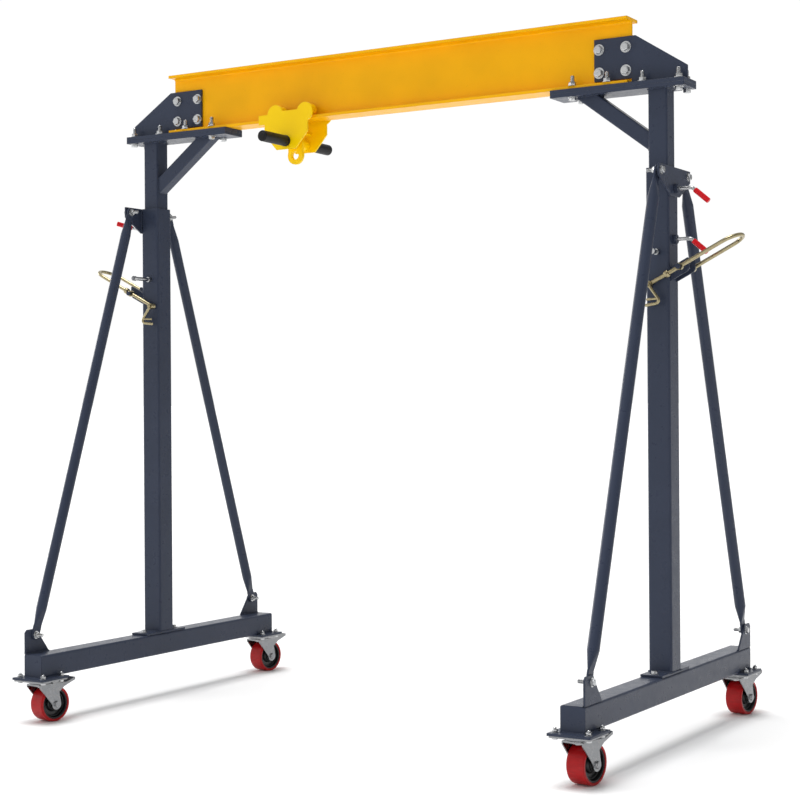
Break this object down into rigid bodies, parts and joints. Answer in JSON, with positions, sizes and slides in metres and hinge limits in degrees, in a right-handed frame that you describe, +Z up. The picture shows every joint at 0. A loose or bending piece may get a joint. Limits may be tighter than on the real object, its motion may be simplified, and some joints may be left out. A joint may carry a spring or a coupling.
{
  "type": "gantry crane",
  "caption": "Portable gantry crane: an I-beam on telescoping braced legs with swivel casters, clamp screws, jacking levers and a push trolley with a load eye.",
  "frame": {"origin": "on the floor, midway between the posts, under the middle of the beam's width", "axes": "+X along the beam towards the right leg, +Y along the leg bases towards the back, where the casters trail, +Z up"},
  "size_m": [2.6532, 1.5184, 2.385],
  "materials": {
    "slate_paint": "semi-gloss powder coat",
    "yellow_paint": "semi-gloss enamel",
    "zinc_plate": "bright zinc plating",
    "yellow_zinc": "yellow passivated zinc plating",
    "red_tread": "satin polyurethane",
    "black_hub": "black enamel",
    "red_grip": "gloss dipped vinyl",
    "black_grip": "satin rubber"
  },
  "bodies": {
    "right_leg": {"right_base_tube": "slate_paint", "right_base_pads": "slate_paint", "right_post_foot": "slate_paint", "right_outer_post": "slate_paint", "right_brace_brackets": "slate_paint", "right_braces": "slate_paint", "right_lever_bracket": "slate_paint", "right_crank_bosses": "slate_paint", "right_lock_pin": "zinc_plate", "right_caster_tops": "zinc_plate"},
    "upper_frame": {"inner_posts": "slate_paint", "lower_head_plates": "slate_paint", "upper_head_plates": "slate_paint", "web_plates": "slate_paint", "knee_braces": "slate_paint", "beam": "yellow_paint"},
    "left_leg": {"left_base_tube": "slate_paint", "left_base_pads": "slate_paint", "left_post_foot": "slate_paint", "left_outer_post": "slate_paint", "left_brace_brackets": "slate_paint", "left_braces": "slate_paint", "left_lever_bracket": "slate_paint", "left_crank_bosses": "slate_paint", "left_lock_pin": "zinc_plate", "left_caster_tops": "zinc_plate"},
    "trolley": {"trolley_side_plates": "yellow_paint", "trolley_bars": "yellow_paint", "trolley_handles": "black_grip", "trolley_wheels": "yellow_paint"},
    "load_eye": {"load_eye": "yellow_paint"},
    "right_front_swivel": {"right_front_fork": "zinc_plate"},
    "right_front_wheel": {"right_front_tread": "red_tread", "right_front_hub": "black_hub"},
    "right_back_swivel": {"right_back_fork": "zinc_plate"},
    "right_back_wheel": {"right_back_tread": "red_tread", "right_back_hub": "black_hub"},
    "right_lever": {"right_jack_lever": "yellow_zinc"},
    "right_link": {"right_hook_link": "yellow_zinc"},
    "right_upper_screw": {"right_upper_crank": "zinc_plate", "right_upper_grip": "red_grip"},
    "right_lower_screw": {"right_lower_crank": "zinc_plate", "right_lower_grip": "red_grip"},
    "left_front_swivel": {"left_front_fork": "zinc_plate"},
    "left_front_wheel": {"left_front_tread": "red_tread", "left_front_hub": "black_hub"},
    "left_back_swivel": {"left_back_fork": "zinc_plate"},
    "left_back_wheel": {"left_back_tread": "red_tread", "left_back_hub": "black_hub"},
    "left_lever": {"left_jack_lever": "yellow_zinc"},
    "left_link": {"left_hook_link": "yellow_zinc"},
    "left_upper_screw": {"left_upper_crank": "zinc_plate", "left_upper_grip": "red_grip"}
  },
  "joints": [
    {"name": "right_height", "type": "slide", "parent": "right_leg", "child": "upper_frame", "axis": [0, 0, 1], "range_m": [0, 0.9]},
    {"name": "left_height", "type": "slide", "parent": "upper_frame", "child": "left_leg", "axis": [0, 0, -1], "range_m": [0, 0.9]},
    {"name": "trolley_travel", "type": "slide", "parent": "upper_frame", "child": "trolley", "axis": [1, 0, 0], "range_m": [-0.25, 0.99]},
    {"name": "eye_swing", "type": "hinge", "parent": "trolley", "child": "load_eye", "pos_m": [-0.39, 0, 2.086], "axis": [0, 1, 0], "range_deg": [-60, 60]},
    {"name": "right_front_swivel", "type": "hinge", "parent": "right_leg", "child": "right_front_swivel", "pos_m": [1.05, -0.66, 0.14], "axis": [0, 0, 1], "continuous": true},
    {"name": "right_front_roll", "type": "hinge", "parent": "right_front_swivel", "child": "right_front_wheel", "pos_m": [1.05626, -0.62049, 0.0625], "axis": [0.9877, -0.1564, 0], "continuous": true},
    {"name": "right_back_swivel", "type": "hinge", "parent": "right_leg", "child": "right_back_swivel", "pos_m": [1.05, 0.66, 0.14], "axis": [0, 0, 1], "continuous": true},
    {"name": "right_back_roll", "type": "hinge", "parent": "right_back_swivel", "child": "right_back_wheel", "pos_m": [1.05626, 0.69951, 0.0625], "axis": [0.9877, -0.1564, 0], "continuous": true},
    {"name": "right_lever_turn", "type": "hinge", "parent": "right_leg", "child": "right_lever", "pos_m": [1.132, 0, 1.557], "axis": [0, 1, 0], "range_deg": [0, 32]},
    {"name": "right_link_swing", "type": "hinge", "parent": "right_lever", "child": "right_link", "pos_m": [1.02766, 0, 1.50406], "axis": [0, 1, 0], "range_deg": [-30, 30]},
    {"name": "right_upper_screw", "type": "hinge", "parent": "right_leg", "child": "right_upper_screw", "pos_m": [1.11, 0, 1.814], "axis": [1, 0, 0], "continuous": true},
    {"name": "right_lower_screw", "type": "hinge", "parent": "right_leg", "child": "right_lower_screw", "pos_m": [1.11, 0, 1.65], "axis": [1, 0, 0], "continuous": true},
    {"name": "left_front_swivel", "type": "hinge", "parent": "left_leg", "child": "left_front_swivel", "pos_m": [-1.05, -0.66, 0.14], "axis": [0, 0, 1], "continuous": true},
    {"name": "left_front_roll", "type": "hinge", "parent": "left_front_swivel", "child": "left_front_wheel", "pos_m": [-1.04374, -0.62049, 0.0625], "axis": [0.9877, -0.1564, 0], "continuous": true},
    {"name": "left_back_swivel", "type": "hinge", "parent": "left_leg", "child": "left_back_swivel", "pos_m": [-1.05, 0.66, 0.14], "axis": [0, 0, 1], "continuous": true},
    {"name": "left_back_roll", "type": "hinge", "parent": "left_back_swivel", "child": "left_back_wheel", "pos_m": [-1.04374, 0.69951, 0.0625], "axis": [0.9877, -0.1564, 0], "continuous": true},
    {"name": "left_lever_turn", "type": "hinge", "parent": "left_leg", "child": "left_lever", "pos_m": [-1.132, 0, 1.557], "axis": [0, -1, 0], "range_deg": [0, 32]},
    {"name": "left_link_swing", "type": "hinge", "parent": "left_lever", "child": "left_link", "pos_m": [-1.02766, 0, 1.50406], "axis": [0, -1, 0], "range_deg": [-30, 30]},
    {"name": "left_upper_screw", "type": "hinge", "parent": "left_leg", "child": "left_upper_screw", "pos_m": [-1.11, 0, 1.814], "axis": [-1, 0, 0], "continuous": true}
  ],
  "couplings": [
    {"joint": "left_height", "follows": "right_height", "ratio": 1}
  ]
}
